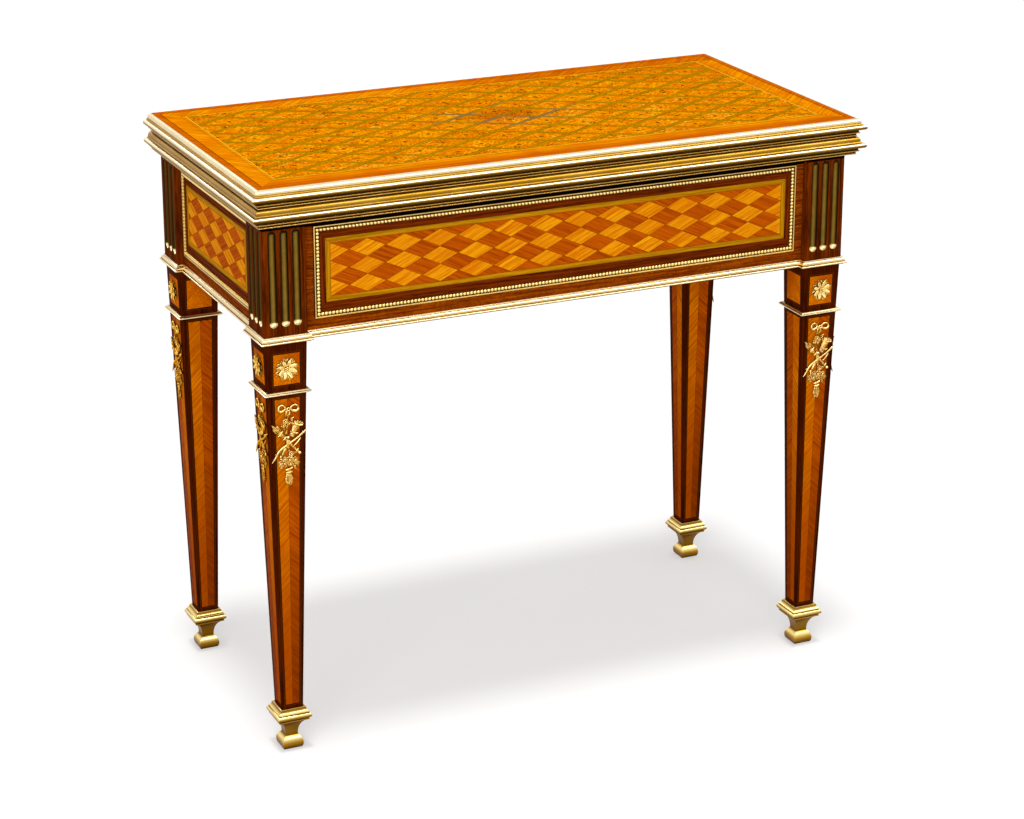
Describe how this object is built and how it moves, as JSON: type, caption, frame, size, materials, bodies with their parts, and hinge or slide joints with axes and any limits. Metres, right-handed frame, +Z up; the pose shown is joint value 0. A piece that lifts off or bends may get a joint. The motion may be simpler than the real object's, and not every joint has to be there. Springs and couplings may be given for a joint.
{
  "type": "fold-over games table",
  "caption": "Fold-over games table in the Louis XVI manner: parquetry frieze on tapered square legs with gilt-bronze mounts; the hinged top swivels and opens to a baize playing square.",
  "frame": {"origin": "on the floor, at the middle of the closed table's footprint", "axes": "+X along the long front, to the right of someone facing the front; +Y from the front to the back; +Z up"},
  "size_m": [0.876, 0.4406, 0.78],
  "materials": {
    "mahogany": "french polished",
    "satinwood": "polished parquetry veneer",
    "oak": "plain",
    "gilt_bronze": "chased and gilt",
    "old_brass": "dull",
    "steel": "plain",
    "green_baize": "napped wool cloth"
  },
  "bodies": {
    "base": {"leg_front_left": "mahogany", "sabot_front_left": "gilt_bronze", "collar_front_left": "gilt_bronze", "rosette_front_left_front": "gilt_bronze", "trophy_front_left_front": "gilt_bronze", "rosette_front_left_left": "gilt_bronze", "trophy_front_left_left": "gilt_bronze", "leg_front_right": "mahogany", "sabot_front_right": "gilt_bronze", "collar_front_right": "gilt_bronze", "rosette_front_right_right": "gilt_bronze", "trophy_front_right_right": "gilt_bronze", "rosette_front_right_front": "gilt_bronze", "trophy_front_right_front": "gilt_bronze", "leg_back_right": "mahogany", "sabot_back_right": "gilt_bronze", "collar_back_right": "gilt_bronze", "rosette_back_right_back": "gilt_bronze", "trophy_back_right_back": "gilt_bronze", "rosette_back_right_right": "gilt_bronze", "trophy_back_right_right": "gilt_bronze", "leg_back_left": "mahogany", "sabot_back_left": "gilt_bronze", "collar_back_left": "gilt_bronze", "rosette_back_left_left": "gilt_bronze", "trophy_back_left_left": "gilt_bronze", "rosette_back_left_back": "gilt_bronze", "trophy_back_left_back": "gilt_bronze", "frieze_rail_front": "mahogany", "parquetry_front": "satinwood", "bead_frame_front": "gilt_bronze", "frieze_rail_right": "mahogany", "parquetry_right": "satinwood", "bead_frame_right": "gilt_bronze", "frieze_rail_back": "mahogany", "parquetry_back": "satinwood", "bead_frame_back": "gilt_bronze", "frieze_rail_left": "mahogany", "parquetry_left": "satinwood", "bead_frame_left": "gilt_bronze", "apron_moulding": "gilt_bronze", "well_floor": "oak", "cross_rail": "oak", "stop_peg": "old_brass"},
    "lower_leaf": {"lower_leaf_board": "mahogany", "lower_leaf_moulding": "gilt_bronze", "lower_leaf_baize": "green_baize", "lower_hinge_left": "old_brass", "hinge_pin_left": "steel", "lower_hinge_right": "old_brass", "hinge_pin_right": "steel", "pivot_bolt": "steel", "pivot_nut": "steel"},
    "upper_leaf": {"upper_leaf_board": "mahogany", "upper_leaf_moulding": "gilt_bronze", "upper_leaf_baize": "green_baize", "top_parquetry": "satinwood", "upper_hinge_left": "old_brass", "upper_hinge_right": "old_brass"}
  },
  "joints": [
    {"name": "top_swivel", "type": "hinge", "parent": "base", "child": "lower_leaf", "pos_m": [0.10658, 0.11125, 0.7296], "axis": [0, 0, 1], "range_deg": [0, 90]},
    {"name": "leaf_hinge", "type": "hinge", "parent": "lower_leaf", "child": "upper_leaf", "pos_m": [0, 0.21782, 0.75495], "axis": [-1, 0, 0], "range_deg": [0, 180]}
  ]
}
